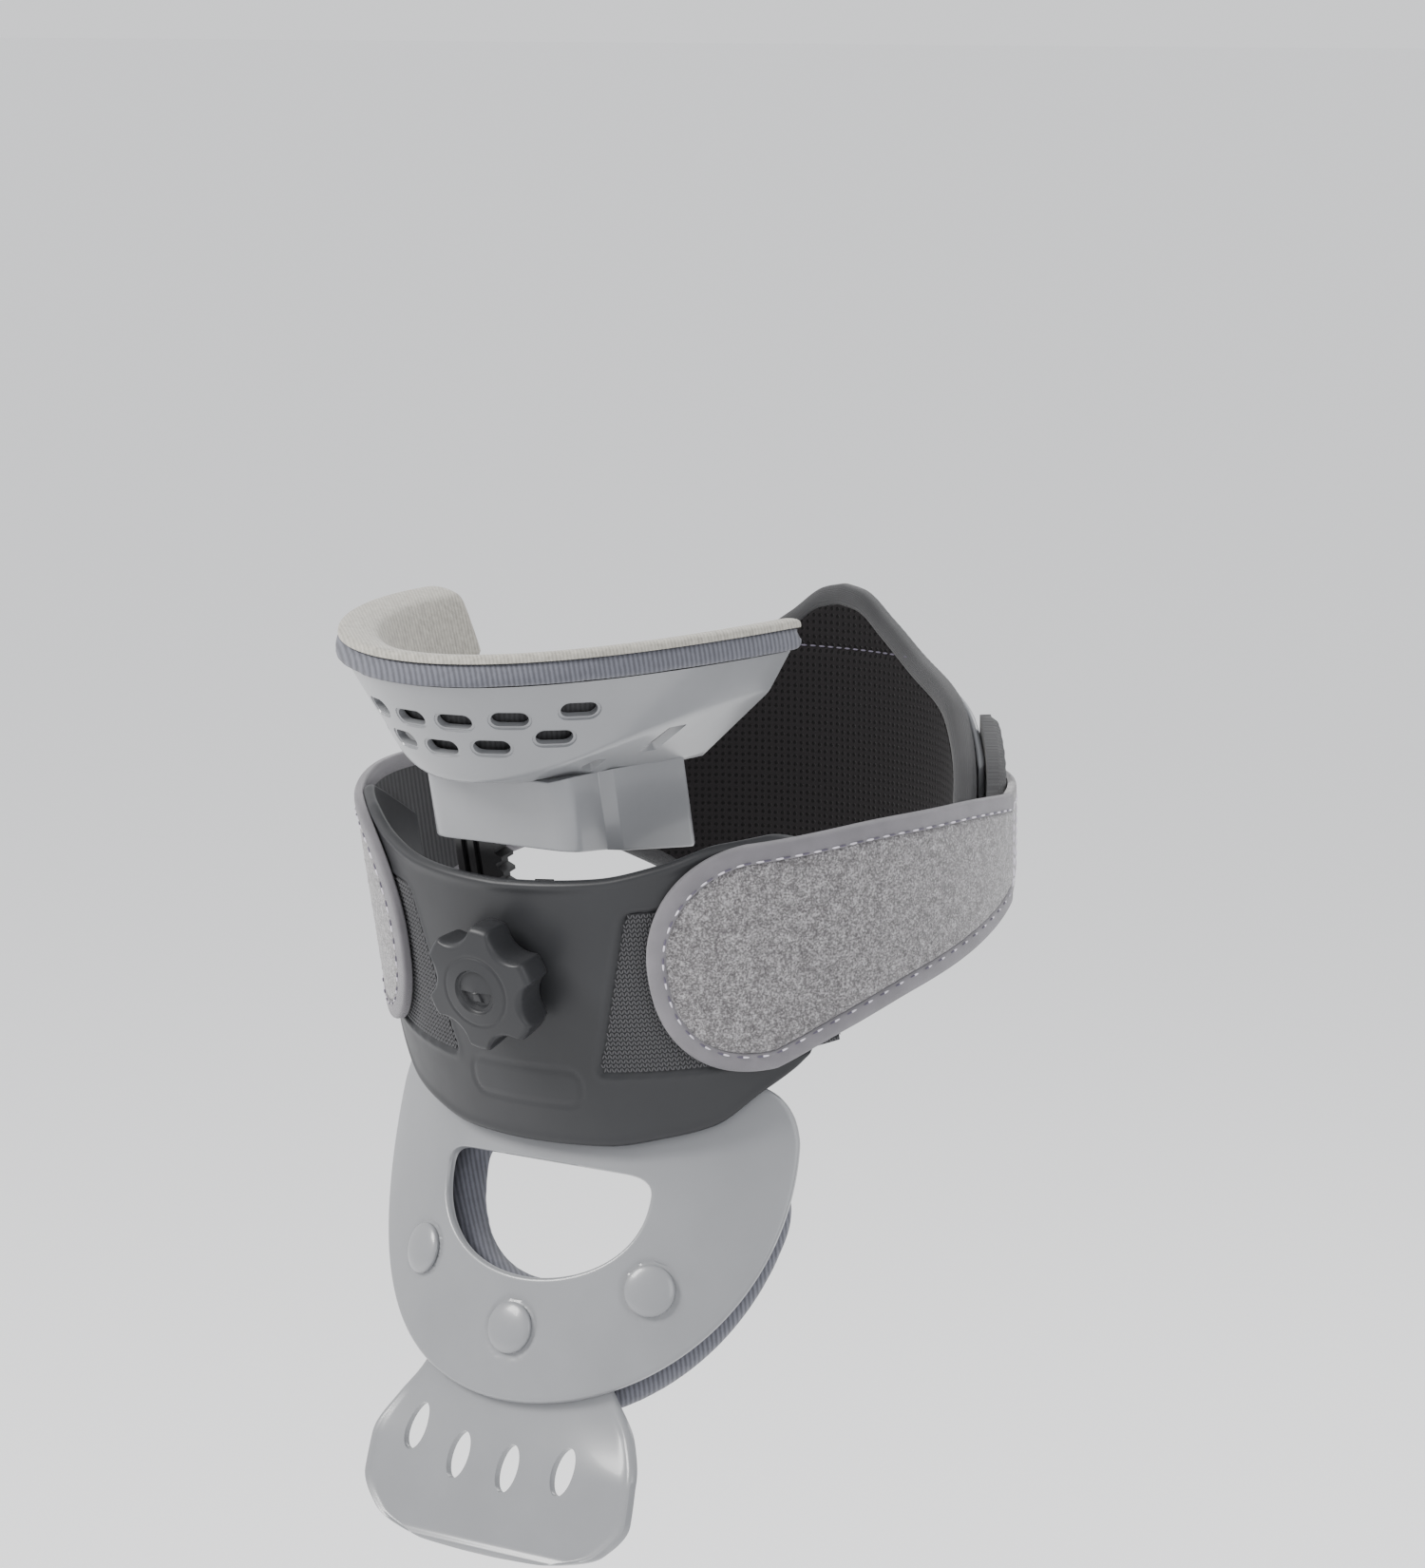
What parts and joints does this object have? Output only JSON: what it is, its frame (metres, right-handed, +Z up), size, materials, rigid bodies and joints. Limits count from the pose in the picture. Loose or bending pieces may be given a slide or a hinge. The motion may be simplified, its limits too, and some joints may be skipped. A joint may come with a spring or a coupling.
{
  "type": "adjustable cervical collar",
  "caption": "Rigid neck collar: ring with wrap straps, a chin tray raised and lowered by a knob with rack and pinion, and a tilting chest plate.",
  "frame": {"origin": "centre of the neck opening, on the ring's axis", "axes": "+Z up along the wearer's neck, -Y to the wearer's front, +X to the wearer's left"},
  "size_m": [0.2034, 0.2345, 0.284],
  "materials": {
    "light_plastic": "smooth glossy light grey",
    "dark_plastic": "satin dark grey",
    "black_plastic": "satin black",
    "acetal": "natural white, smooth",
    "steel": "bright",
    "hook_tape": "dense hook tape",
    "loop_fabric": "mottled brushed loop",
    "binding_tape": "smooth folded tape",
    "pad_foam": "ribbed knit over foam",
    "chin_fabric": "soft knit",
    "mesh_lining": "breathable mesh",
    "ribbed_tape": "ribbed tape"
  },
  "bodies": {
    "ring": {"front_panel": "dark_plastic", "hook_patch_left": "hook_tape", "hook_patch_right": "hook_tape", "shaft_bush": "acetal", "gear_housing": "black_plastic", "housing_screw_1": "steel", "housing_screw_2": "steel", "housing_screw_3": "steel", "housing_screw_4": "steel", "rear_pad": "pad_foam", "rear_lining": "mesh_lining", "rear_binding": "ribbed_tape", "rear_plate": "light_plastic", "rear_pocket_left": "ribbed_tape", "rear_pocket_right": "ribbed_tape", "strap_anchor_left": "loop_fabric", "strap_anchor_right": "loop_fabric"},
    "chin_support": {"chin_tray": "light_plastic", "chin_pad": "pad_foam", "chin_pad_cover": "chin_fabric", "rack": "black_plastic", "rack_screw_1": "steel", "rack_screw_2": "steel"},
    "knob_drive": {"knob": "dark_plastic", "knob_cap": "dark_plastic", "knob_screw": "steel", "drive_shaft": "steel", "shaft_clip": "steel", "pinion": "acetal", "pinion_spacer": "acetal", "detent_spring": "steel"},
    "chest_support": {"chest_plate": "light_plastic", "chest_pad": "pad_foam", "chest_extension": "light_plastic", "chest_cap_left": "light_plastic", "chest_cap_center": "light_plastic", "chest_cap_right": "light_plastic", "stud_washer_left": "steel", "stud_washer_center": "steel", "stud_washer_right": "steel", "hinge_pin_left": "steel", "hinge_pin_right": "steel"},
    "wrap_strap_left": {"strap_left": "loop_fabric", "strap_binding_left": "binding_tape"},
    "wrap_strap_right": {"strap_right": "loop_fabric", "strap_binding_right": "binding_tape"}
  },
  "joints": [
    {"name": "chin_lift", "type": "slide", "parent": "ring", "child": "chin_support", "axis": [0, -0.2164, 0.9763], "range_m": [-0.012, 0.025]},
    {"name": "knob_turn", "type": "hinge", "parent": "ring", "child": "knob_drive", "pos_m": [0, -0.00208, 0.00937], "axis": [0, 0.9763, 0.2164], "range_deg": [-91.67, 190.99]},
    {"name": "chest_tilt", "type": "hinge", "parent": "ring", "child": "chest_support", "pos_m": [0, -0.05532, -0.04583], "axis": [1, 0, 0], "range_deg": [-5, 10]},
    {"name": "strap_left_open", "type": "hinge", "parent": "ring", "child": "wrap_strap_left", "pos_m": [0.09429, 0.0381, 0], "axis": [0, 0, 1], "range_deg": [0, 60]},
    {"name": "strap_right_open", "type": "hinge", "parent": "ring", "child": "wrap_strap_right", "pos_m": [-0.09429, 0.0381, 0], "axis": [0, 0, -1], "range_deg": [0, 60]}
  ],
  "couplings": [
    {"joint": "knob_turn", "follows": "chin_lift", "rad_per_m": 133.33}
  ]
}
